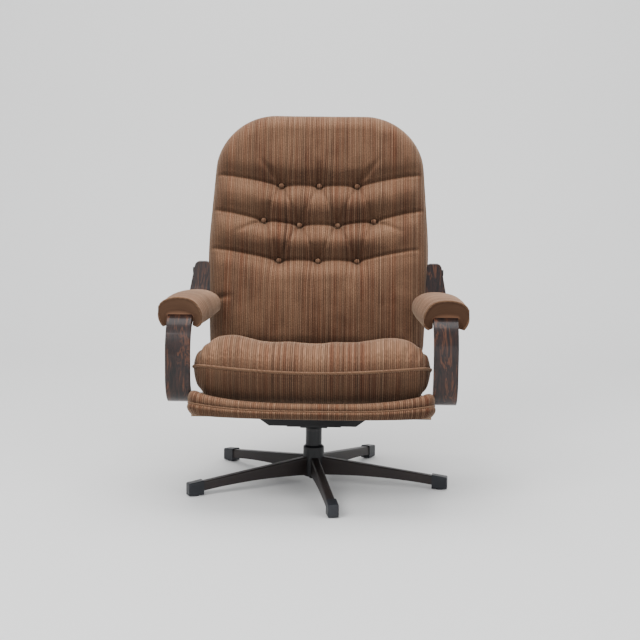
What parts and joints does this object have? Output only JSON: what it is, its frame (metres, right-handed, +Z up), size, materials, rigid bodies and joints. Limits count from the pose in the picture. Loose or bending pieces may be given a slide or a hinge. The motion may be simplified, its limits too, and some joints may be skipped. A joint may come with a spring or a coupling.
{
  "type": "recliner armchair",
  "caption": "High-backed swivel recliner armchair with bentwood arms, sliding seat cushion and button-tufted back.",
  "frame": {"origin": "middle of the whole chair's footprint, on the floor", "axes": "+Z up, the sitter faces -Y, +X is the right-hand side seen from the front"},
  "size_m": [0.804, 0.8596, 1.0212],
  "materials": {
    "corduroy": "striped ribbed velour",
    "stained_beech": "dark stain under gloss lacquer",
    "frame_wood": "bare",
    "leg_enamel": "satin",
    "black_enamel": "satin",
    "foot_plastic": "gloss",
    "rubber": "matt",
    "dust_cloth": "matt",
    "nylon": "natural",
    "steel": "zinc plated"
  },
  "bodies": {
    "base": {"base_hub": "black_enamel", "column_tube": "black_enamel", "column_bush_upper": "nylon", "column_bush_lower": "nylon", "foot_caps": "foot_plastic", "foot_glides": "foot_plastic", "thrust_washer": "nylon", "leg_1": "leg_enamel", "leg_2": "leg_enamel", "leg_3": "leg_enamel", "leg_4": "leg_enamel", "leg_5": "leg_enamel"},
    "swivel": {"spindle": "black_enamel", "spindle_clip": "steel", "tilt_housing": "black_enamel"},
    "seat_frame": {"arm_bolts": "steel", "arm_left": "stained_beech", "arm_pad_left": "corduroy", "arm_pad_right": "corduroy", "arm_right": "stained_beech", "cross_rail_front": "frame_wood", "cross_rail_rear": "frame_wood", "dust_cover": "dust_cloth", "pan_bolts": "steel", "pivot_bolt_left": "black_enamel", "pivot_bolt_right": "black_enamel", "platform_lip": "corduroy", "rail_front": "frame_wood", "rail_left": "frame_wood", "rail_rear": "frame_wood", "rail_right": "frame_wood", "side_cover_left": "corduroy", "side_cover_right": "corduroy", "tilt_nuts": "steel", "tilt_pan": "black_enamel", "tilt_rubbers": "rubber", "tilt_shaft": "steel"},
    "backrest": {"back_cushion": "corduroy", "back_buttons": "corduroy", "back_panel": "frame_wood", "back_rear_pad": "corduroy", "pivot_bush_left": "nylon", "pivot_bush_right": "nylon", "pivot_bracket_left": "steel", "pivot_bracket_right": "steel", "link_lug_left": "steel", "link_lug_right": "steel", "link_pin_left": "steel", "link_pin_right": "steel"},
    "seat": {"seat_board": "frame_wood", "seat_cushion": "corduroy", "slide_strip_left": "nylon", "slide_strip_right": "nylon", "drive_arm_left": "steel", "drive_arm_right": "steel"}
  },
  "joints": [
    {"name": "swivel", "type": "hinge", "parent": "base", "child": "swivel", "pos_m": [0, -0.059, 0.1], "axis": [0, 0, 1], "continuous": true},
    {"name": "tilt", "type": "hinge", "parent": "swivel", "child": "seat_frame", "pos_m": [0, -0.059, 0.17111], "axis": [-1, 0, 0], "range_deg": [0, 10], "stiffness_Nm_per_rad": 350, "springref_deg": -14.32},
    {"name": "recline", "type": "hinge", "parent": "seat_frame", "child": "backrest", "pos_m": [0, 0.211, 0.567], "axis": [-1, 0, 0], "range_deg": [0, 15]},
    {"name": "seat_slide", "type": "slide", "parent": "seat_frame", "child": "seat", "axis": [0, -0.9848, 0.1736], "range_m": [0, 0.072]}
  ],
  "couplings": [
    {"joint": "seat_slide", "follows": "recline", "m_per_rad": 0.2585}
  ]
}
